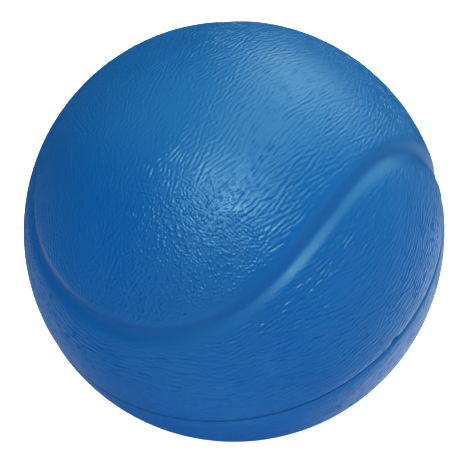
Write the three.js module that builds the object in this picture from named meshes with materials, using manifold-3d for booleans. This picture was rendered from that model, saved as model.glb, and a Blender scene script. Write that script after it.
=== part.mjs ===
// A stress ball moulded from self-skinning polyurethane foam, in the form of a tennis ball.
//
// The two halves of the mould leave a dense skin each, with the winding seam of a tennis ball
// pressed into it as a shallow groove. The skins meet in the mould's parting plane, where a thin
// web of foam joins them, and a soft cellular core fills the inside.
//
// Millimetres. +Z is the mould axis, so the parting plane is level. +X is the seam's own axis,
// which lies in the parting plane. The origin is at the middle of the small flat that the soft
// ball rests on.

import * as THREE from 'three';
import { mergeVertices } from 'three/addons/utils/BufferGeometryUtils.js';
import Module from 'manifold-3d';

const wasm = await Module();
wasm.setup();

// Driving dimensions

const BALL_RADIUS = 31.5;
const REST_FLAT_RADIUS = 3.4;
const SKIN_THICKNESS = 1.8;
const FIT_GAP = 0.3; // clearance between pieces that touch on the real ball

const GROOVE_WIDTH = 3.4;
const GROOVE_DEPTH = 0.7;

const FLASH_THICKNESS = 0.4;
const FLASH_RECESS = 0.35; // how far the trimmed flash lies below the ball's surface
const LIP_CHAMFER = 0.3; // bevel of each skin's edge along the parting line

const VENT_RADIUS = 0.5;
const VENT_RECESS = 0.15;
const VENT_AZIMUTH = THREE.MathUtils.degToRad(-80.6);

// The seam is the curve (a cos t + b cos 3t + d cos 5t, a sin t - b sin 3t + d sin 5t,
// c sin 2t + e sin 6t) pushed out to the ball's surface, with a = 1 - b and c = 2 sqrt(ab).
const SEAM_B = 0.269;
const SEAM_D = -0.056;
const SEAM_E = -0.013;

// Fineness of the facets

const TURN_SEGMENTS = 60;
const OUTER_ARC_STEPS = 16;
const INNER_ARC_STEPS = 9;
const SEAM_STEPS = 144;
const SEAM_SIDES = 16;
const VENT_SIDES = 12;

// Sizes that follow from the driving dimensions

const REST_HEIGHT = Math.sqrt(BALL_RADIUS ** 2 - REST_FLAT_RADIUS ** 2);
const SKIN_INNER_RADIUS = BALL_RADIUS - SKIN_THICKNESS;
const CORE_RADIUS = SKIN_INNER_RADIUS - FIT_GAP;
const RIM_HEIGHT = FLASH_THICKNESS / 2 + FIT_GAP;

// A round cutter that leaves a groove of the stated width and depth in the ball's surface.
const CUTTER_RADIUS = (GROOVE_WIDTH ** 2 / 4 + GROOVE_DEPTH ** 2) / (2 * GROOVE_DEPTH);
const CUTTER_PATH_RADIUS = BALL_RADIUS - GROOVE_DEPTH + CUTTER_RADIUS;

class SeamCurve extends THREE.Curve {
  constructor(radius) {
    super();
    this.radius = radius;
  }

  getPoint(share, target = new THREE.Vector3()) {
    const t = 2 * Math.PI * share;
    const a = 1 - SEAM_B;
    const p = a * Math.cos(t) + SEAM_B * Math.cos(3 * t) + SEAM_D * Math.cos(5 * t);
    const q = a * Math.sin(t) - SEAM_B * Math.sin(3 * t) + SEAM_D * Math.sin(5 * t);
    const s = 2 * Math.sqrt(a * SEAM_B) * Math.sin(2 * t) + SEAM_E * Math.sin(6 * t);
    target.set(s, -(p + q) / Math.SQRT2, (p - q) / Math.SQRT2);
    return target.setLength(this.radius);
  }
}

// Shape helpers

// The geometry as one closed mesh: shared vertices merged, and no triangle without area.
function closedMesh(geometry) {
  geometry.deleteAttribute('normal');
  geometry.deleteAttribute('uv');
  const merged = mergeVertices(geometry, 1e-4);
  const index = merged.index.array;
  const kept = [];
  for (let i = 0; i < index.length; i += 3) {
    const [a, b, c] = index.slice(i, i + 3);
    if (a !== b && b !== c && c !== a) kept.push(a, b, c);
  }
  merged.setIndex(kept);
  return merged;
}

function toSolid(geometry) {
  const mesh = closedMesh(geometry);
  return new wasm.Manifold(new wasm.Mesh({
    numProp: 3,
    vertProperties: new Float32Array(mesh.attributes.position.array),
    triVerts: new Uint32Array(mesh.index.array),
  }));
}

function toGeometry(solid) {
  const mesh = solid.getMesh();
  const geometry = new THREE.BufferGeometry();
  geometry.setAttribute('position', new THREE.BufferAttribute(mesh.vertProperties, 3));
  geometry.setIndex(new THREE.BufferAttribute(mesh.triVerts, 1));
  geometry.computeVertexNormals();
  return geometry;
}

// Points (distance from the axis, height) along an arc round the ball's centre. Angles are
// elevations in radians.
function arcPoints(radius, from, to, steps) {
  const points = [];
  for (let i = 0; i <= steps; i += 1) {
    const angle = THREE.MathUtils.lerp(from, to, i / steps);
    const onAxis = Math.abs(Math.abs(angle) - Math.PI / 2) < 1e-9;
    points.push(new THREE.Vector2(onAxis ? 0 : radius * Math.cos(angle), radius * Math.sin(angle)));
  }
  return points;
}

// A profile turned about +Z. The profile runs with its material on its left.
function turned(profile) {
  return new THREE.LatheGeometry(profile, TURN_SEGMENTS).rotateX(Math.PI / 2);
}

// A round bar along the vent's radial line, between two distances from the ball's centre.
function radialBar(radius, from, to) {
  const bar = new THREE.CylinderGeometry(radius, radius, to - from, VENT_SIDES);
  bar.translate(0, (from + to) / 2, 0);
  bar.rotateZ(VENT_AZIMUTH - Math.PI / 2);
  return bar;
}

function seamCutter() {
  const path = new SeamCurve(CUTTER_PATH_RADIUS);
  return toSolid(new THREE.TubeGeometry(path, SEAM_STEPS, CUTTER_RADIUS, SEAM_SIDES, true));
}

function ventHole() {
  const reach = 1; // past both faces of the skin
  const radius = VENT_RADIUS + FIT_GAP;
  return toSolid(radialBar(radius, SKIN_INNER_RADIUS - reach, BALL_RADIUS + reach));
}

// Pieces

// The lip where a skin's outer arc meets its rim, as the elevation at which the arc ends and the
// corner that the bevel leads to.
const LIP_ELEVATION = Math.asin((RIM_HEIGHT + LIP_CHAMFER) / BALL_RADIUS);
const LIP_CORNER = new THREE.Vector2(BALL_RADIUS - LIP_CHAMFER, RIM_HEIGHT);
const INNER_RIM_ELEVATION = Math.asin(RIM_HEIGHT / SKIN_INNER_RADIUS);

function upperSkin(cutters) {
  const profile = [
    ...arcPoints(SKIN_INNER_RADIUS, Math.PI / 2, INNER_RIM_ELEVATION, INNER_ARC_STEPS),
    LIP_CORNER,
    ...arcPoints(BALL_RADIUS, LIP_ELEVATION, Math.PI / 2, OUTER_ARC_STEPS),
  ];
  return toGeometry(toSolid(turned(profile)).subtract(cutters));
}

function lowerSkin(cutters) {
  const flatElevation = -Math.asin(REST_HEIGHT / BALL_RADIUS);
  const profile = [
    new THREE.Vector2(0, -REST_HEIGHT),
    ...arcPoints(BALL_RADIUS, flatElevation, -LIP_ELEVATION, OUTER_ARC_STEPS),
    new THREE.Vector2(LIP_CORNER.x, -LIP_CORNER.y),
    ...arcPoints(SKIN_INNER_RADIUS, -INNER_RIM_ELEVATION, -Math.PI / 2, INNER_ARC_STEPS),
  ];
  return toGeometry(toSolid(turned(profile)).subtract(cutters));
}

function partingFlash(cutters) {
  const inner = SKIN_INNER_RADIUS;
  const outer = BALL_RADIUS - FLASH_RECESS;
  const half = FLASH_THICKNESS / 2;
  const profile = [
    new THREE.Vector2(inner, -half),
    new THREE.Vector2(outer, -half),
    new THREE.Vector2(outer, half),
    new THREE.Vector2(inner, half),
    new THREE.Vector2(inner, -half),
  ];
  return toGeometry(toSolid(turned(profile)).subtract(cutters));
}

function ventStub() {
  return closedMesh(radialBar(VENT_RADIUS, SKIN_INNER_RADIUS, BALL_RADIUS - VENT_RECESS));
}

function foamCore() {
  return closedMesh(turned(arcPoints(CORE_RADIUS, -Math.PI / 2, Math.PI / 2, 2 * INNER_ARC_STEPS)));
}

// Materials

const skinFoam = { color: 0x1f6fb8, roughness: 0.42, metalness: 0 };
const flashFoam = { color: 0x185f9f, roughness: 0.55, metalness: 0 };
const coreFoam = { color: 0x4f94c8, roughness: 0.95, metalness: 0 };

function piece(name, geometry, look) {
  const mesh = new THREE.Mesh(geometry, new THREE.MeshStandardMaterial(look));
  mesh.name = name;
  return mesh;
}

// Assembly

const cutters = seamCutter().add(ventHole());

const ball = new THREE.Group();
ball.position.z = REST_HEIGHT;
ball.add(piece('upper_skin', upperSkin(cutters), skinFoam));
ball.add(piece('lower_skin', lowerSkin(cutters), skinFoam));
ball.add(piece('parting_flash', partingFlash(cutters), flashFoam));
ball.add(piece('vent_stub', ventStub(), flashFoam));
ball.add(piece('foam_core', foamCore(), coreFoam));

const group = new THREE.Group();
group.add(ball);

export default group;
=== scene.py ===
"""A foam stress ball in the form of a tennis ball: its looks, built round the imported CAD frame.

The ball is one self-skinning foam moulding. Each mould half leaves a dense, leather-grained skin,
and the seam of a tennis ball winds over both as a smooth, shallow groove. The skins meet in the
parting plane, where the trimmed flash and the stub of a vent show in a fine notch. Inside is the
cellular foam core. Lengths are in metres, in the frame of the CAD model.
"""

import math

import bpy
import numpy as np
from mathutils import Matrix, Vector


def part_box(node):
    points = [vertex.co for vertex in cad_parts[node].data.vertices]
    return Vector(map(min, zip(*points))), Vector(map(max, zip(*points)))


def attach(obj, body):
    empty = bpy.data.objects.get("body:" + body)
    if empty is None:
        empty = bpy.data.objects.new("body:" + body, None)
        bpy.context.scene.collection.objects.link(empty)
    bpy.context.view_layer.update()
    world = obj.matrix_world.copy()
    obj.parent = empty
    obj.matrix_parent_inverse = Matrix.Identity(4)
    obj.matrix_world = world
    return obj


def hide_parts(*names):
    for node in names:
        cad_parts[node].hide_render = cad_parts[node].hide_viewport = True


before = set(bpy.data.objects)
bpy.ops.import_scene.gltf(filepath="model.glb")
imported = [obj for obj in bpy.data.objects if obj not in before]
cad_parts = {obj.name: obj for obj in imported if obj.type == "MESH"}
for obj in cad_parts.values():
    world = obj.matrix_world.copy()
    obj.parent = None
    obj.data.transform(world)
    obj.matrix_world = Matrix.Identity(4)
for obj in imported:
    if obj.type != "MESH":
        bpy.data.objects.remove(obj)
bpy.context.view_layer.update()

MM = 0.001
TURN = 2 * math.pi

# Sizes from the frame

FIT_GAP = 0.3 * MM  # between the CAD model's core and skins
CORE_LOW, CORE_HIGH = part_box("foam_core")
CENTRE = (CORE_LOW + CORE_HIGH) / 2
CORE_RADIUS = (CORE_HIGH.z - CORE_LOW.z) / 2
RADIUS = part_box("upper_skin")[1].z - CENTRE.z
REST_HEIGHT = CENTRE.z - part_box("lower_skin")[0].z
VENT_LOW, VENT_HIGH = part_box("vent_stub")
VENT_RADIUS = (VENT_HIGH.z - VENT_LOW.z) / 2
VENT_MIDDLE = (VENT_LOW + VENT_HIGH) / 2 - CENTRE
VENT_AZIMUTH = math.atan2(VENT_MIDDLE.y, VENT_MIDDLE.x)
VENT_DIRECTION = np.array([math.cos(VENT_AZIMUTH), math.sin(VENT_AZIMUTH), 0])
SKIN_INNER_RADIUS = CORE_RADIUS + FIT_GAP

# The seam groove. The seam is the curve (a cos t + b cos 3t + d cos 5t,
# a sin t - b sin 3t + d sin 5t, c sin 2t + e sin 6t) pushed out to the ball's surface, with
# a = 1 - b and c = 2 sqrt(ab).

SEAM_B = 0.269
SEAM_D = -0.056
SEAM_E = -0.013
SEAM_SAMPLES = 900
GROOVE_SPREAD = 0.98 * MM  # from the groove's middle to the steepest part of its walls
GROOVE_DEPTH = 0.7 * MM
PANEL_EDGE = (1.3 * MM, 3.2 * MM)  # the grain starts and is full this far from the seam

# The parting line: a tight lip on each skin's edge, inside a broad shallow roll

LIP_WIDTH = 0.75 * MM
LIP_DEPTH = 0.2 * MM
ROLL_WIDTH = 2.2 * MM
ROLL_DEPTH = 0.2 * MM
SMOOTH_EDGE = (0.5 * MM, 1.4 * MM)  # the grain starts and is full at these heights
LIP_TOP = 2 * LIP_WIDTH  # where the skin's square grid ends and the rings of its lip start
LIP_RINGS = 10
PARTING_GAP = 0.04 * MM  # half the space that the flash fills
VENT_DIMPLE_RADIUS = 0.65 * MM
VENT_DIMPLE_HEIGHT = 0.45 * MM  # the nick's middle lies a little above the parting line
VENT_DIMPLE_DEPTH = 0.35 * MM
VENT_DIMPLE_STEEPNESS = 3

# The flash and the vent's stub

FLASH_POINTS = 1440  # all the way round
FLASH_RECESS = 0.22 * MM  # below the roll beside it
FLASH_HALF = 0.9 * PARTING_GAP
FLASH_BEVEL = 0.03 * MM
FLASH_RAGGEDNESS = 0.02 * MM  # how far its trimmed edge wanders in and out
FLASH_SEED = 11
STUB_SIDES = 48
STUB_DOME_RINGS = 13
STUB_RADIUS = 0.6 * VENT_RADIUS  # what is left of the vent is thinner than its bore
STUB_FOOT_RADIUS = 0.55 * VENT_RADIUS
STUB_RECESS = 0.05 * MM  # from the nick's floor down to the foot of the stub's dome
STUB_DOME = 0.12 * MM
STUB_SHAFT = (0.3, 0.6, 0.85)  # shares of the stub's length at which its shaft has rings
STUB_TEAR = 0.10  # how much the torn dome's radius varies
STUB_SEED = 5

# The grain: ripples that run along the flow of the hide pattern. Heights and distances towards a
# direction are measured from the ball's centre, with its radius as 1.

GRID = 520  # cells along each side of a skin's square grid
INNER_STEP = 8  # cells of that grid for each cell of the skin's inner side
GRAIN_SEED = 7
KERNELS = 16000  # the ripples are short wave packets, spread over the whole ball
KERNEL_SCATTER = 0.3 * MM  # from evenly spread places
KERNEL_ACROSS = 0.46 * MM
KERNEL_ALONG = 1.4 * MM  # a packet's usual reach, along its wrinkles
KERNEL_ALONG_SPREAD = 0.2
KERNEL_CUT = 3  # a packet is worked out as far as this many times its reach
KERNEL_MARGIN = 4 * KERNEL_ALONG  # packets this far beyond one half still count for it
RIPPLE_LENGTH = 0.64 * MM  # from one wrinkle to the next
RIPPLE_SPREAD = 0.2
GRAIN_HEIGHT = 0.022 * MM
RIPPLE_SHARE = 0.6  # of that height, in the rounded ripples
CREASE_SHARE = 0.7  # of that height, in the creases between them
CREASE_START = 0.2
CREASE_SHARPNESS = 4.0

POLE_FLOW = (math.radians(22), math.radians(52))  # the flow turns between these elevations
POLE_TILT = math.radians(13)  # how much further it turns towards +Y, and again towards -X
TILT_SPAN_Y = (-0.5, -0.1)  # the turn starts and ends at these distances towards +Y
TILT_SPAN_X = (0.0, 0.4)  # and at these towards -X
FLOW_DRIFT = 0.14  # radians by which the flow wanders
LOOSENESS = (math.radians(12), math.radians(30))  # spread of the angles, tidy and untidy
LONG_SIDE = (0.6, -0.8, 0)  # the wrinkles are longest and tidiest on this side
TIDY_SPAN = (-0.1, 0.25)  # untidy and tidy, over the poles, at these distances towards it
LONG_SPAN = (0.1, 0.6)  # usual and longest at these distances towards it
LONG_GAIN = 0.4  # how much longer they are at the longest

STRENGTH = (0.5, 1.5)  # of the grain, faint and strong
STRONG_AXIS = (0.35, 1.0, 0)  # it is strong towards both ends of this line
STRONG_SPAN = (0.0, 1.0)  # faint and strong at these distances from the line's middle
SIDE_SPAN = (0.45, 0.8)  # it is also fairly strong all round the ball below the first height
SIDE_SHARE = 0.7  # how far from faint to strong it is there
WEAK_BAND = (-0.35, 0.0)  # between these heights, from the parting line down, it is weakened
WEAK_FADE = 0.3  # above and below the band it has its full strength at this distance
WEAK_SHARE = 0.4  # what is left of its strength in the band

PEBBLE_PATCHES = (  # azimuth, elevation and radius, in degrees, where the wrinkles break up
    (-131, 55, 18),
    (60, -48, 18),
    (150, 25, 15),
)
PEBBLE_EDGE = (0.5, 1.2)  # a patch is full and gone at these shares of its radius
PEBBLE_LOOSENESS = math.radians(50)
PEBBLE_SHORTER = 0.6  # how much shorter the wave packets are in a patch
PEBBLE_FINER = 0.4  # how much closer the wrinkles lie in a patch
PEBBLE_GAIN = 0.1  # how much stronger the grain is in a patch

# The foam core

CORE_GRID = 110  # cells along each side of the cube that the core's ball is made from
CORE_PIT_DEPTH = 0.12 * MM
CORE_PIT_SPAN = (0.2, 1.6)
CORE_SEED = 3

# Finishes. A pair of colours belongs to the two ends of the pattern that mixes them, and a scale is
# in cycles per metre.

NOISE_SPAN = (0.3, 0.7)  # most of the noise lies between these values
NOISE_ROUGHNESS = 0.55
CLOUD_SCALE = 90.0
RIDGE_BLUE = ((0.0028, 0.098, 0.309), (0.0032, 0.104, 0.325))
# painted shade: the darker blue laid into the grain's creases
CREASE_SHADE_BLUE = ((0.0022, 0.076, 0.262), (0.0026, 0.082, 0.276))
# painted shade: the deeper blue laid into the seam's groove
GROOVE_SHADE_BLUE = ((0.0020, 0.078, 0.268), (0.0023, 0.083, 0.282))
CREASE_SPAN = (-2.2, 1.6)  # the ripples' values in the deepest crease and on the highest ridge, where the painted crease shade is full and gone
GLOSS_SCALE = 260.0
SKIN_ROUGHNESS = (0.37, 0.45)
GROOVE_ROUGHER = 0.06
SKIN_SPECULAR = 0.62
SKIN_SPECULAR_TINT = (0.5, 0.97, 1.0, 1.0)
WRINKLE_BUMP = 0.012 * MM
MICRO_SCALE = 2800.0
MICRO_BUMP = 0.03 * MM
NUB_SCALE = 1900.0
NUB_SPAN = (0.0, 0.5)  # distances from a pebble's middle at which it is full and gone
NUB_BUMP = 0.1 * MM

FLASH_FOAM = {
    "pore_scale": 2600.0,
    "pore_span": (0.1, 0.6),
    # the first colour is painted shade in the pores, the second the foam's own blue
    "colours": ((0.008, 0.085, 0.30), (0.013, 0.13, 0.40)),
    "gloss_scale": 900.0,
    "roughness": (0.5, 0.7),
    "pore_bump": 0.05 * MM,
}
CORE_FOAM = {
    "pore_scale": 1500.0,
    "pore_span": (0.05, 0.55),
    # the first colour is painted shade in the pores, the second the foam's own blue
    "colours": ((0.03, 0.16, 0.38), (0.10, 0.34, 0.62)),
    "gloss_scale": 700.0,
    "roughness": (0.85, 1.0),
    "pore_bump": 0.25 * MM,
}

FLOOR_HALF = 1.5  # metres from the floor's middle to its sides
FLOOR_SCALE = 6.0
FLOOR_GREY = ((0.86, 0.86, 0.86), (0.90, 0.90, 0.90))
FLOOR_ROUGHNESS = 0.9
FLOOR_SPECULAR = 0.2
FLOOR_GLOW = (0.84, 0.86, 1.0, 1.0)
FLOOR_GLOW_STRENGTH = 1.0

# The camera, as turns from looking along +Y, and the lens and sensor in millimetres

CAMERA_AZIMUTH = math.radians(-21.2)
CAMERA_ELEVATION = math.radians(56.9)
CAMERA_ROLL = math.radians(-20.5)
CAMERA_DISTANCE = 7.7 * RADIUS
CAMERA_LENS = 123.2
CAMERA_SENSOR = 36
CAMERA_CLIP = (0.01, 20)
AIM_RIGHT = 0.13 * MM  # it aims this far to the right of the ball's centre, in its own view
AIM_UP = -0.56 * MM  # and this far above it

# The lights: name, direction from the ball, distance, width, height (metres), power, colour, and
# whether it shows in reflections

LIGHTS = (
    ("key", (-0.025, -0.262, 0.963), 0.8, 0.27, 0.27, 4.6, (1.0, 0.97, 0.83), True),
    ("panel", (0.60, 0.06, 0.80), 0.9, 0.6, 0.6, 2.9, (0.98, 1.0, 0.84), True),
    ("window", (0.84, 0.42, 0.32), 0.9, 0.5, 0.5, 2.6, (1.0, 1.0, 0.72), True),
    ("side", (0.976, -0.05, 0.21), 1.0, 0.6, 0.6, 1.9, (0.8, 1.0, 0.9), True),
    ("top", (0.12, 0.66, 0.74), 0.9, 0.9, 0.9, 1.7, (0.7, 1.0, 1.0), True),
    ("strip", (0.45, -0.88, 0.10), 1.0, 0.9, 0.5, 0.9, (0.7, 0.9, 1.0), True),
    ("card", (-0.67, -0.38, 0.64), 1.0, 0.25, 0.25, 0.4, (0.8, 0.95, 1.0), True),
    ("fill", (-0.80, -0.52, 0.30), 1.2, 1.4, 0.9, 5.8, (0.80, 0.80, 1.0), False),
)

# The pale parts of the room that the ball's rims reflect: the direction, the cosines of the angles
# from it at which the room is dark and pale, and the brightness

PALE_SIDES = (
    ((0.446, -0.174, -0.878), (0.86, 0.99), 1.4),
    ((-0.42, 0.62, -0.66), (0.92, 0.995), 0.65),
)
ROOM_DARK = (0.02, 0.025, 0.03, 1.0)


# Number helpers


def unit(vectors):
    return vectors / np.linalg.norm(vectors, axis=-1, keepdims=True)


def smoothstep(low, high, value):
    share = np.clip((value - low) / (high - low), 0, 1)
    return share * share * (3 - 2 * share)


def softplus(value):
    return np.logaddexp(0, value)


def direction(azimuth, elevation):
    level = math.cos(elevation)
    return np.array([level * math.cos(azimuth), level * math.sin(azimuth), math.sin(elevation)])


def ring_turns(count):
    """Evenly spaced angles once round."""
    return np.arange(count) * TURN / count


def slow_noise(directions, random, waves=12, frequency=5.0):
    """A smooth random value, mostly from -1 to 1, over the ball."""
    total = np.zeros(directions.shape[:-1])
    for _ in range(waves):
        wave = random.normal(size=3) * frequency
        total += np.sin(directions @ wave + random.uniform(0, TURN))
    return total / math.sqrt(waves)


# The seam


def seam_points(count):
    """Directions from the ball's centre to points all along the seam."""
    t = np.linspace(0, TURN, count, endpoint=False)
    a = 1 - SEAM_B
    p = a * np.cos(t) + SEAM_B * np.cos(3 * t) + SEAM_D * np.cos(5 * t)
    q = a * np.sin(t) - SEAM_B * np.sin(3 * t) + SEAM_D * np.sin(5 * t)
    s = 2 * math.sqrt(a * SEAM_B) * np.sin(2 * t) + SEAM_E * np.sin(6 * t)
    root = math.sqrt(2)
    return unit(np.stack([s, -(p + q) / root, (p - q) / root], axis=1))


def seam_distance(directions, chunk=20000):
    """How far each direction's point on the ball is from the seam's middle line."""
    seam = seam_points(SEAM_SAMPLES)
    tangents = unit(np.roll(seam, -1, axis=0) - np.roll(seam, 1, axis=0))
    distance = np.empty(len(directions))
    for start in range(0, len(directions), chunk):
        some = directions[start : start + chunk]
        nearest = np.argmax(some.astype(np.float32) @ seam.T.astype(np.float32), axis=1)
        offset = some - seam[nearest]
        tangent = tangents[nearest]
        along = np.sum(offset * tangent, axis=1, keepdims=True)
        distance[start : start + chunk] = np.linalg.norm(offset - along * tangent, axis=1)
    return distance * RADIUS


def groove_profile(distance):
    """1 in the middle of the groove, falling softly to 0 beyond its walls."""
    return np.exp(-0.5 * (distance / GROOVE_SPREAD) ** 2)


# The grain


def local_axes(directions):
    """Unit vectors east and north at each direction."""
    level = directions.copy()
    level[:, 2] = 0
    level[:, 0] += 1e-9  # at a pole, east has to be somewhere
    level = unit(level)
    east = np.stack([-level[:, 1], level[:, 0], np.zeros(len(level))], axis=1)
    return east, np.cross(directions, east)


def pole_share(directions):
    """1 over the poles and 0 round the sides."""
    return smoothstep(*POLE_FLOW, np.abs(np.arcsin(directions[:, 2])))


def flow(directions, random):
    """The angle from east that the wrinkles run at, and how strictly they keep to it, 0 to 1.

    Over the poles they run along X, and near the parting plane they run round the ball. The
    angles are blended doubled, because a wrinkle has no front end.
    """
    east, north = local_axes(directions)
    along_x = np.arctan2(north[:, 0], east[:, 0])
    tilt = smoothstep(*TILT_SPAN_Y, directions[:, 1]) + smoothstep(*TILT_SPAN_X, -directions[:, 0])
    along_x = along_x + POLE_TILT * tilt
    over_pole = pole_share(directions)
    across = (1 - over_pole) + over_pole * np.cos(2 * along_x)
    up = over_pole * np.sin(2 * along_x)
    angle = 0.5 * np.arctan2(up, across) + FLOW_DRIFT * slow_noise(directions, random)
    return angle, np.clip(np.hypot(across, up), 0, 1)


def pebble_share(directions):
    """1 in the patches where the wrinkles break up into pebbles, falling to 0 round them."""
    share = np.zeros(len(directions))
    full, gone = PEBBLE_EDGE
    for azimuth, elevation, radius in PEBBLE_PATCHES:
        middle = direction(math.radians(azimuth), math.radians(elevation))
        apart = np.degrees(np.arccos(np.clip(directions @ middle, -1, 1)))
        share = np.maximum(share, 1 - smoothstep(full * radius, gone * radius, apart))
    return share


def grain_strength(directions):
    """How strong the grain is: faint over the poles, and weakened along the parting line."""
    height = directions[..., 2]
    faint, strong = STRENGTH
    along = smoothstep(*STRONG_SPAN, np.abs(directions @ np.array(STRONG_AXIS)))
    around = SIDE_SHARE * (1 - smoothstep(*SIDE_SPAN, np.abs(height)))
    full = faint + (strong - faint) * np.maximum(along, around)
    bottom, top = WEAK_BAND
    away = smoothstep(0, WEAK_FADE, height - top) + smoothstep(0, WEAK_FADE, bottom - height)
    return full * (WEAK_SHARE + (1 - WEAK_SHARE) * away)


def even_directions(count):
    """Directions spread evenly over the ball along a golden spiral."""
    i = np.arange(count) + 0.5
    height = 1 - 2 * i / count
    azimuth = i * math.pi * (3 - math.sqrt(5))
    level = np.sqrt(1 - height * height)
    return np.stack([level * np.cos(azimuth), level * np.sin(azimuth), height], axis=1)


def grain_kernels(random):
    """The wave packets over the whole ball: middle, along, across, reach, pitch, phase."""
    middle = even_directions(KERNELS)
    middle = unit(middle + random.normal(size=middle.shape) * KERNEL_SCATTER / RADIUS)
    angle, order = flow(middle, random)
    pebble = pebble_share(middle)
    long_side = middle @ np.array(LONG_SIDE)
    tidy = np.maximum(smoothstep(*TIDY_SPAN, long_side), 1 - pole_share(middle))
    loose = LOOSENESS[1] + (LOOSENESS[0] - LOOSENESS[1]) * tidy
    loose += PEBBLE_LOOSENESS * np.maximum(1 - order, pebble)
    angle = angle + random.normal(size=KERNELS) * loose
    east, north = local_axes(middle)
    along = east * np.cos(angle)[:, None] + north * np.sin(angle)[:, None]
    reach = KERNEL_ALONG * (1 - PEBBLE_SHORTER * pebble)
    reach *= np.exp(KERNEL_ALONG_SPREAD * random.normal(size=KERNELS))
    reach *= 1 + LONG_GAIN * smoothstep(*LONG_SPAN, long_side)
    pitch = RIPPLE_LENGTH * (1 - PEBBLE_FINER * pebble)
    pitch *= np.exp(RIPPLE_SPREAD * random.normal(size=KERNELS))
    phase = random.uniform(0, TURN, KERNELS)
    return middle, along, np.cross(middle, along), reach, pitch, phase


def square_place(directions, edge):
    """Where a direction in the upper half falls on the square grid, each way from -1 to 1."""
    azimuth = np.arctan2(directions[:, 1], directions[:, 0])
    radius = np.arccos(directions[:, 2]) / math.acos(edge)
    quarter = np.round(azimuth / (math.pi / 2))
    aside = radius * (azimuth - quarter * math.pi / 2) / (math.pi / 4)
    turn = quarter.astype(int) % 4
    u = np.choose(turn, [radius, -aside, -radius, aside])
    v = np.choose(turn, [aside, radius, -aside, -radius])
    return u, v


def ripples(directions, edge, kernels):
    """The sum of the wave packets at each point of one half's square grid of directions."""
    total = np.zeros(directions.shape[:2])
    points = directions * RADIUS
    middle, along, across, reach, pitch, phase = kernels
    u, v = square_place(middle, edge)
    narrowest = TURN * RADIUS / (4 * GRID)  # a cell's width at the half ball's edge
    for k in np.flatnonzero(middle[:, 2] > edge - KERNEL_MARGIN / RADIUS):
        i = int((u[k] + 1) * GRID / 2)
        j = int((v[k] + 1) * GRID / 2)
        window = int(KERNEL_CUT * reach[k] / narrowest) + 1
        rows = slice(max(i - window, 0), max(i + window + 1, 0))
        columns = slice(max(j - window, 0), max(j + window + 1, 0))
        offset = points[rows, columns] - middle[k] * RADIUS
        if offset.size == 0:
            continue
        a = offset @ along[k]
        c = offset @ across[k]
        fade = np.exp(-0.5 * ((a / reach[k]) ** 2 + (c / KERNEL_ACROSS) ** 2))
        total[rows, columns] += fade * np.cos(TURN * c / pitch[k] + phase[k])
    return total / np.std(total)


def crease(wrinkle):
    """How deep the surface is creased, falling to 0 on the ridges between the creases."""
    return softplus(CREASE_SHARPNESS * (-wrinkle - CREASE_START)) / CREASE_SHARPNESS


# Grids and bands of points and faces


def half_ball_grid(edge):
    """Directions over the upper half down to height edge, as a square grid."""
    line = np.linspace(-1, 1, GRID + 1)
    u, v = np.meshgrid(line, line, indexing="ij")
    wide = np.abs(u) >= np.abs(v)
    radius = np.where(wide, u, v)
    safe = np.where(radius == 0, 1, radius)
    turn = np.where(wide, math.pi / 4 * v / safe, math.pi / 2 - math.pi / 4 * u / safe)
    fall = radius * math.acos(edge)
    level = np.sin(fall)
    return np.stack([level * np.cos(turn), level * np.sin(turn), np.cos(fall)], axis=-1)


def border_indices(n):
    """The grid points along the square's edge, counter-clockwise from the middle of one side."""
    steps = np.arange(n)
    last = np.full(n, n)
    first = np.zeros(n, int)
    i = np.concatenate([last, n - steps, first, steps])
    j = np.concatenate([steps, last, n - steps, first])
    return np.roll(i * (n + 1) + j, -n // 2)


def grid_faces(n):
    i, j = np.meshgrid(np.arange(n), np.arange(n), indexing="ij")
    corner = (i * (n + 1) + j).ravel()
    return np.stack([corner, corner + n + 1, corner + n + 2, corner + 1], axis=1)


def band_faces(upper, lower):
    """Quads between two rings with the same number of points."""
    return np.stack([upper, lower, np.roll(lower, -1), np.roll(upper, -1)], axis=1)


def cube_sphere(n):
    """Directions and quads of a ball made from a cube's six faces."""
    line = np.tan(np.linspace(-math.pi / 4, math.pi / 4, n + 1))
    u, v = np.meshgrid(line, line, indexing="ij")
    one = np.ones_like(u)
    sides = ((u, v, one), (v, u, -one), (one, u, v), (-one, v, u), (v, one, u), (u, -one, v))
    points = np.concatenate([np.stack(side, axis=-1).reshape(-1, 3) for side in sides])
    faces = np.concatenate([grid_faces(n) + k * (n + 1) ** 2 for k in range(6)])
    fineness = (line[1] - line[0]) / 16  # tells points apart, and joins those that two sides share
    key = np.round(points / fineness).astype(int)
    _, first, shared = np.unique(key, axis=0, return_index=True, return_inverse=True)
    return unit(points[first]), shared.reshape(-1)[faces]


# The skins


def lip_drop(height):
    """How far the surface falls back towards the parting plane, at a height above it."""
    tight = np.clip(1 - height / LIP_WIDTH, 0, 1)
    broad = np.clip(1 - height / ROLL_WIDTH, 0, 1)
    return LIP_DEPTH * tight**2 + ROLL_DEPTH * broad**2


def vent_dimple(points):
    """The depth of the nick round the vent's stub."""
    middle = VENT_DIRECTION * RADIUS
    middle[2] = VENT_DIMPLE_HEIGHT
    apart = np.linalg.norm(points - middle, axis=-1)
    return VENT_DIMPLE_DEPTH * np.exp(-((apart / VENT_DIMPLE_RADIUS) ** VENT_DIMPLE_STEEPNESS))


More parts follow.
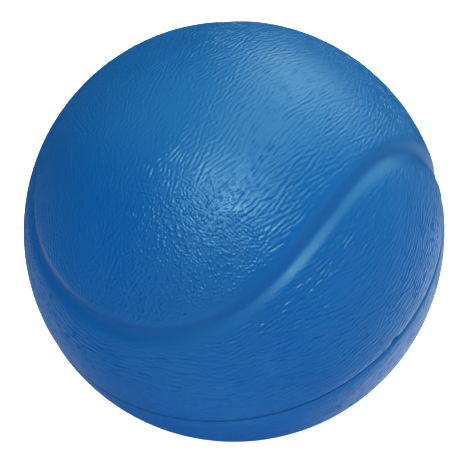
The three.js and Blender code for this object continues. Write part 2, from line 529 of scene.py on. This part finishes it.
def outer_radius(directions, wrinkle):
    """The distance from the ball's centre to its surface, and the values that colour it."""
    height = np.abs(directions[:, 2]) * RADIUS
    distance = seam_distance(directions)
    panel = smoothstep(*PANEL_EDGE, distance) * smoothstep(*SMOOTH_EDGE, height)
    pebble = pebble_share(directions)
    panel *= grain_strength(directions) * (1 + PEBBLE_GAIN * pebble)
    grain = GRAIN_HEIGHT * (RIPPLE_SHARE * wrinkle - CREASE_SHARE * crease(wrinkle))
    groove = groove_profile(distance)
    radius = RADIUS + grain * panel - GROOVE_DEPTH * groove
    radius -= lip_drop(height) + vent_dimple(directions * RADIUS)
    return radius, {"wrinkle": wrinkle * panel, "groove": groove, "pebble": pebble}


def outer_side(kernels, flip):
    """A skin's outer side, made as an upper half: points, faces, last ring, attributes.

    A square grid covers the half ball down to the lip, and rings go on from its border down to
    the parting plane.
    """
    edge = LIP_TOP / RADIUS
    cap = half_ball_grid(edge)
    wrinkle = ripples(cap, edge, [part * flip for part in kernels[:3]] + list(kernels[3:]))
    cap, wrinkle = cap.reshape(-1, 3), wrinkle.reshape(-1)
    border = border_indices(GRID)
    level = unit(cap[border] * [1, 1, 0])
    heights = np.linspace(LIP_TOP, PARTING_GAP, LIP_RINGS + 1)[1:, None, None] / RADIUS
    rings = level * np.sqrt(1 - heights**2) + heights * [0, 0, 1]
    directions = np.concatenate([cap, rings.reshape(-1, 3)])
    values = np.concatenate([wrinkle, np.tile(wrinkle[border], LIP_RINGS)])
    radius, attributes = outer_radius(directions * flip, values)
    faces = [grid_faces(GRID)]
    upper = border
    for r in range(LIP_RINGS):
        lower = len(cap) + r * len(border) + np.arange(len(border))
        faces.append(band_faces(upper, lower))
        upper = lower
    return directions * radius[:, None], np.concatenate(faces), upper, attributes


def inner_side():
    """Points and faces of a skin's inner side, made as an upper half."""
    grid = half_ball_grid(PARTING_GAP / SKIN_INNER_RADIUS)[::INNER_STEP, ::INNER_STEP]
    return grid.reshape(-1, 3) * SKIN_INNER_RADIUS, grid_faces(GRID // INNER_STEP)[:, ::-1]


def rim_triangles(outer, inner):
    """The skin's edge in the parting plane, between a fine outer ring and a coarse inner one."""
    per = len(outer) // len(inner)
    found = []
    for i in range(len(inner)):
        start = i * per - per // 2
        for step in range(per):
            a = outer[(start + step) % len(outer)]
            b = outer[(start + step + 1) % len(outer)]
            found.append((a, inner[i], b))
        last = outer[(start + per) % len(outer)]
        found.append((last, inner[i], inner[(i + 1) % len(inner)]))
    return np.array(found)


def skin_arrays(kernels, below):
    """Points, quads, triangles and attributes of one skin. The lower one is turned over."""
    flip = np.array([1, 1, -1 if below else 1])
    outer, outer_quads, outer_ring, attributes = outer_side(kernels, flip)
    inner, inner_quads = inner_side()
    if below:
        outer[:, 2] = np.minimum(outer[:, 2], REST_HEIGHT)  # the flat that the ball rests on
    points = np.concatenate([outer, inner]) * flip + np.array(CENTRE)
    quads = np.concatenate([outer_quads, inner_quads + len(outer)])
    triangles = rim_triangles(outer_ring, border_indices(GRID // INNER_STEP) + len(outer))
    if below:
        quads, triangles = quads[:, ::-1], triangles[:, ::-1]
    blank = np.zeros(len(inner))
    shown = {name: np.concatenate([values, blank]) for name, values in attributes.items()}
    return points, quads, triangles, shown


# Piece helpers


def make_piece(name, points, quads, triangles=None, attributes=None):
    """A smooth-shaded mesh object from arrays of corners."""
    groups = [quads] if triangles is None else [quads, triangles]
    corners = np.concatenate([group.ravel() for group in groups])
    sizes = np.concatenate([np.full(len(group), group.shape[1]) for group in groups])
    mesh = bpy.data.meshes.new(name)
    mesh.vertices.add(len(points))
    mesh.vertices.foreach_set("co", points.astype(np.float32).ravel())
    mesh.loops.add(len(corners))
    mesh.loops.foreach_set("vertex_index", corners.astype(np.int32))
    mesh.polygons.add(len(sizes))
    starts = np.concatenate([[0], np.cumsum(sizes)[:-1]])
    mesh.polygons.foreach_set("loop_start", starts.astype(np.int32))
    mesh.update(calc_edges=True)
    mesh.validate()
    for key, values in (attributes or {}).items():
        layer = mesh.attributes.new(key, "FLOAT", "POINT")
        layer.data.foreach_set("value", values.astype(np.float32))
    mesh.shade_smooth()
    piece = bpy.data.objects.new(name, mesh)
    bpy.context.scene.collection.objects.link(piece)
    return piece


def fit(piece, material, node):
    """Gives a piece its material, hides the CAD part that it stands for, and hangs it from the root
    body.
    """
    piece.data.materials.append(material)
    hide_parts(node)
    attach(piece, "root")


# Materials


class Nodes:
    """A short way to build a material's node tree."""

    def __init__(self, name):
        self.material = bpy.data.materials.new(name)
        self.material.use_nodes = True
        self.tree = self.material.node_tree
        self.shader = self.tree.nodes["Principled BSDF"]

    def add(self, kind, **settings):
        node = self.tree.nodes.new(kind)
        for key, value in settings.items():
            setattr(node, key, value)
        return node

    def link(self, source, target):
        self.tree.links.new(source, target)

    def attribute(self, name):
        return self.add("ShaderNodeAttribute", attribute_name=name).outputs["Fac"]

    def pattern(self, kind, scale, **settings):
        """A texture in the object's own coordinates. scale is in cycles per metre."""
        place = self.add("ShaderNodeTexCoord").outputs["Object"]
        node = self.add(kind, **settings)
        node.inputs["Scale"].default_value = scale
        self.link(place, node.inputs["Vector"])
        return node

    def noise(self, scale, detail=3.0):
        node = self.pattern("ShaderNodeTexNoise", scale)
        node.inputs["Detail"].default_value = detail
        node.inputs["Roughness"].default_value = NOISE_ROUGHNESS
        return node.outputs["Fac"]

    def cells(self, scale):
        return self.pattern("ShaderNodeTexVoronoi", scale, feature="SMOOTH_F1").outputs["Distance"]

    def ramp(self, source, span, colours):
        """The two colours, where the source is at the ends of the span, blended between them."""
        node = self.add("ShaderNodeValToRGB")
        for element, position, colour in zip(node.color_ramp.elements, span, colours):
            element.position = position
            element.color = (*colour, 1)
        self.link(source, node.inputs["Fac"])
        return node.outputs["Color"]

    def span(self, source, before, after):
        """The source's range before, mapped softly on the range after."""
        node = self.add("ShaderNodeMapRange", interpolation_type="SMOOTHSTEP")
        for key, value in zip(("From Min", "From Max", "To Min", "To Max"), (*before, *after)):
            node.inputs[key].default_value = value
        self.link(source, node.inputs["Value"])
        return node.outputs["Result"]

    def maths(self, operation, first, second):
        node = self.add("ShaderNodeMath", operation=operation)
        for socket, value in zip(node.inputs, (first, second)):
            if isinstance(value, (int, float)):
                socket.default_value = value
            else:
                self.link(value, socket)
        return node.outputs["Value"]

    def mix(self, share, first, second):
        node = self.add("ShaderNodeMix", data_type="RGBA")
        self.link(share, node.inputs["Factor"])
        self.link(first, node.inputs[6])  # the colour sockets A and B
        self.link(second, node.inputs[7])
        return node.outputs[2]

    def bump(self, height, distance, before=None):
        node = self.add("ShaderNodeBump")
        node.inputs["Distance"].default_value = distance
        self.link(height, node.inputs["Height"])
        if before is not None:
            self.link(before, node.inputs["Normal"])
        return node.outputs["Normal"]


def skin_material():
    """Dense blue foam skin: leather grain with painted shade darkening its creases, and painted
    shade deepening the blue in the slightly duller groove.
    """
    n = Nodes("foam_skin")
    wrinkle = n.attribute("wrinkle")
    cloud = n.noise(CLOUD_SCALE)
    ridge = n.ramp(cloud, NOISE_SPAN, RIDGE_BLUE)
    # Painted shade: the creases are coloured a darker blue than the ridges, and the grained colour
    # mixes the two.
    crease_shade = n.ramp(cloud, NOISE_SPAN, CREASE_SHADE_BLUE)
    grained = n.mix(n.span(wrinkle, CREASE_SPAN, (1.0, 0.0)), ridge, crease_shade)
    # Painted shade: the deep colour darkens the blue across the groove.
    deep = n.ramp(cloud, NOISE_SPAN, GROOVE_SHADE_BLUE)
    n.link(n.mix(n.attribute("groove"), grained, deep), n.shader.inputs["Base Color"])
    gloss = n.span(n.noise(GLOSS_SCALE), NOISE_SPAN, SKIN_ROUGHNESS)
    dull = n.maths("MULTIPLY", n.attribute("groove"), GROOVE_ROUGHER)
    n.link(n.maths("ADD", gloss, dull), n.shader.inputs["Roughness"])
    relief = n.bump(wrinkle, WRINKLE_BUMP)
    relief = n.bump(n.noise(MICRO_SCALE, detail=2.0), MICRO_BUMP, relief)
    nubs = n.span(n.cells(NUB_SCALE), NUB_SPAN, (1.0, 0.0))
    relief = n.bump(n.maths("MULTIPLY", nubs, n.attribute("pebble")), NUB_BUMP, relief)
    n.link(relief, n.shader.inputs["Normal"])
    n.shader.inputs["Specular IOR Level"].default_value = SKIN_SPECULAR
    n.shader.inputs["Specular Tint"].default_value = SKIN_SPECULAR_TINT
    return n.material


def pored_foam(name, pore_scale, pore_span, colours, gloss_scale, roughness, pore_bump):
    """Foam that is cut or cellular: matt, with painted shade darkening its pores."""
    n = Nodes(name)
    pores = n.cells(pore_scale)
    # Painted shade: the colour is darker in the pores, where the bump sinks.
    n.link(n.ramp(pores, pore_span, colours), n.shader.inputs["Base Color"])
    n.link(n.span(n.noise(gloss_scale), NOISE_SPAN, roughness), n.shader.inputs["Roughness"])
    n.link(n.bump(pores, pore_bump), n.shader.inputs["Normal"])
    return n.material


def floor_material():
    """A pale matt studio floor that also gives light."""
    n = Nodes("studio_floor")
    tone = n.ramp(n.noise(FLOOR_SCALE), NOISE_SPAN, FLOOR_GREY)
    n.link(tone, n.shader.inputs["Base Color"])
    n.shader.inputs["Roughness"].default_value = FLOOR_ROUGHNESS
    n.shader.inputs["Specular IOR Level"].default_value = FLOOR_SPECULAR
    n.shader.inputs["Emission Color"].default_value = FLOOR_GLOW
    n.shader.inputs["Emission Strength"].default_value = FLOOR_GLOW_STRENGTH
    return n.material


# Pieces


def add_skins(material):
    kernels = grain_kernels(np.random.default_rng(GRAIN_SEED))
    for name, below in (("upper_skin", False), ("lower_skin", True)):
        piece = make_piece(name + "_grained", *skin_arrays(kernels, below))
        fit(piece, material, name)


def add_flash(material):
    """The thin web in the parting plane. Its trimmed edge is slightly ragged."""
    azimuth = ring_turns(FLASH_POINTS)
    level = np.stack([np.cos(azimuth), np.sin(azimuth), np.zeros(FLASH_POINTS)], axis=1)
    random = np.random.default_rng(FLASH_SEED)
    ragged = slow_noise(level, random, waves=24, frequency=160.0) * FLASH_RAGGEDNESS
    groove = groove_profile(seam_distance(level))
    tip = RADIUS - ROLL_DEPTH - FLASH_RECESS - GROOVE_DEPTH * groove + ragged
    tip -= vent_dimple(level * RADIUS)
    edge = tip - FLASH_BEVEL
    inner = np.full(FLASH_POINTS, SKIN_INNER_RADIUS)
    half = FLASH_HALF
    section = ((edge, -half), (inner, -half), (inner, half), (edge, half), (tip, 0))
    rings = [level * radius[:, None] + [0, 0, height] for radius, height in section]
    points = np.concatenate(rings) + np.array(CENTRE)
    order = [np.arange(FLASH_POINTS) + r * FLASH_POINTS for r in range(len(rings))]
    faces = [band_faces(order[r], order[(r + 1) % len(order)]) for r in range(len(order))]
    piece = make_piece("parting_flash_trimmed", points, np.concatenate(faces))
    fit(piece, material, "parting_flash")


def stub_profile(start, end):
    """Radius and reach of the stub's rings: a foot, a shaft and a dome on the end."""
    shaft = [(STUB_RADIUS, start + (end - start) * share) for share in STUB_SHAFT]
    rise = np.linspace(0, math.pi / 2, STUB_DOME_RINGS, endpoint=False)
    dome = [(STUB_RADIUS * math.cos(a), end + STUB_DOME * math.sin(a)) for a in rise]
    return [(STUB_FOOT_RADIUS, start)] + shaft + dome


def add_vent(material):
    """The vent's stub: a round peg with a torn, domed end, lying in the parting plane."""
    random = np.random.default_rng(STUB_SEED)
    start = SKIN_INNER_RADIUS
    end = RADIUS - VENT_DIMPLE_DEPTH - STUB_RECESS
    profile = stub_profile(start, end)
    out = VENT_DIRECTION
    side = np.array([-out[1], out[0], 0])
    up = np.array([0, 0, 1])
    turn = ring_turns(STUB_SIDES)
    points = []
    for radius, reach in profile:
        torn = 1 + STUB_TEAR * random.normal(size=STUB_SIDES) * (reach > end)
        across = np.outer(np.cos(turn) * radius * torn, side)
        points.append(across + np.outer(np.sin(turn) * radius * torn, up) + out * reach)
    points.append(np.array([out * start, out * (end + STUB_DOME)]))
    points = np.concatenate(points) + np.array(CENTRE)
    order = [np.arange(STUB_SIDES) + r * STUB_SIDES for r in range(len(profile))]
    quads = np.concatenate([band_faces(b, a) for a, b in zip(order, order[1:])])
    foot, tip = len(points) - 2, len(points) - 1
    base = [(b, a, foot) for a, b in zip(order[0], np.roll(order[0], -1))]
    cap = [(a, b, tip) for a, b in zip(order[-1], np.roll(order[-1], -1))]
    piece = make_piece("vent_stub_torn", points, quads, np.array(base + cap))
    fit(piece, material, "vent_stub")


def add_core(material):
    """The foam core, with the dimples of its open cells in its surface."""
    directions, faces = cube_sphere(CORE_GRID)
    random = np.random.default_rng(CORE_SEED)
    pits = slow_noise(directions, random, waves=60, frequency=90.0)
    radius = CORE_RADIUS - CORE_PIT_DEPTH * smoothstep(*CORE_PIT_SPAN, pits)
    points = directions * radius[:, None] + np.array(CENTRE)
    piece = make_piece("foam_core_cells", points, faces)
    fit(piece, material, "foam_core")


# The set


def add_camera():
    a, e = CAMERA_AZIMUTH, CAMERA_ELEVATION
    back = Vector((math.sin(a) * math.cos(e), -math.cos(a) * math.cos(e), math.sin(e)))
    level_right = Vector((math.cos(a), math.sin(a), 0))
    level_up = back.cross(level_right)
    right = level_right * math.cos(CAMERA_ROLL) + level_up * math.sin(CAMERA_ROLL)
    up = back.cross(right)
    data = bpy.data.cameras.new("camera")
    data.lens = CAMERA_LENS
    data.sensor_width = CAMERA_SENSOR
    data.clip_start, data.clip_end = CAMERA_CLIP
    camera = bpy.data.objects.new("camera", data)
    bpy.context.scene.collection.objects.link(camera)
    place = CENTRE + back * CAMERA_DISTANCE
    look = (place - (CENTRE + right * AIM_RIGHT + up * AIM_UP)).normalized()
    side = up.cross(look).normalized()
    turn = Matrix((side, look.cross(side), look)).transposed()
    camera.matrix_world = Matrix.Translation(place) @ turn.to_4x4()
    bpy.context.scene.camera = camera


def add_softbox(name, towards, distance, width, height, power, colour, reflected):
    """A rectangular studio light that faces the ball."""
    data = bpy.data.lights.new(name, "AREA")
    data.shape = "RECTANGLE"
    data.size = width
    data.size_y = height
    data.energy = power
    data.color = colour
    lamp = bpy.data.objects.new(name, data)
    lamp.visible_glossy = reflected
    bpy.context.scene.collection.objects.link(lamp)
    away = Vector(towards).normalized()
    lamp.location = CENTRE + away * distance
    lamp.rotation_mode = "QUATERNION"
    lamp.rotation_quaternion = away.to_track_quat("Z", "Y")


def add_floor():
    corners = ((-1, -1, 0), (1, -1, 0), (1, 1, 0), (-1, 1, 0))
    floor = make_piece("floor", np.array(corners) * FLOOR_HALF, np.array([[0, 1, 2, 3]]))
    floor.data.materials.append(floor_material())
    floor.visible_glossy = False


def add_world():
    """A dim room with pale parts for the ball's rims to reflect."""
    world = bpy.data.worlds.new("studio")
    world.use_nodes = True
    tree = world.node_tree
    place = tree.nodes.new("ShaderNodeTexCoord")
    shade = tree.nodes.new("ShaderNodeRGB")
    shade.outputs["Color"].default_value = ROOM_DARK
    total = shade.outputs["Color"]
    for side, (dark, pale), brightness in PALE_SIDES:
        towards = tree.nodes.new("ShaderNodeVectorMath")
        towards.operation = "DOT_PRODUCT"
        towards.inputs[1].default_value = side
        span = tree.nodes.new("ShaderNodeMapRange")
        span.inputs["From Min"].default_value = dark
        span.inputs["From Max"].default_value = pale
        span.inputs["To Max"].default_value = brightness
        add = tree.nodes.new("ShaderNodeVectorMath")
        add.operation = "ADD"
        tree.links.new(place.outputs["Generated"], towards.inputs[0])
        tree.links.new(towards.outputs["Value"], span.inputs["Value"])
        tree.links.new(total, add.inputs[0])
        tree.links.new(span.outputs["Result"], add.inputs[1])
        total = add.outputs["Vector"]
    tree.links.new(total, tree.nodes["Background"].inputs["Color"])
    bpy.context.scene.world = world


add_camera()
bpy.context.scene.view_settings.view_transform = "Standard"
bpy.context.scene.view_settings.look = "Medium High Contrast"
add_skins(skin_material())
flash = pored_foam("foam_flash", **FLASH_FOAM)
add_flash(flash)
add_vent(flash)
add_core(pored_foam("foam_core", **CORE_FOAM))
add_floor()
add_world()
for light in LIGHTS:
    add_softbox(*light)
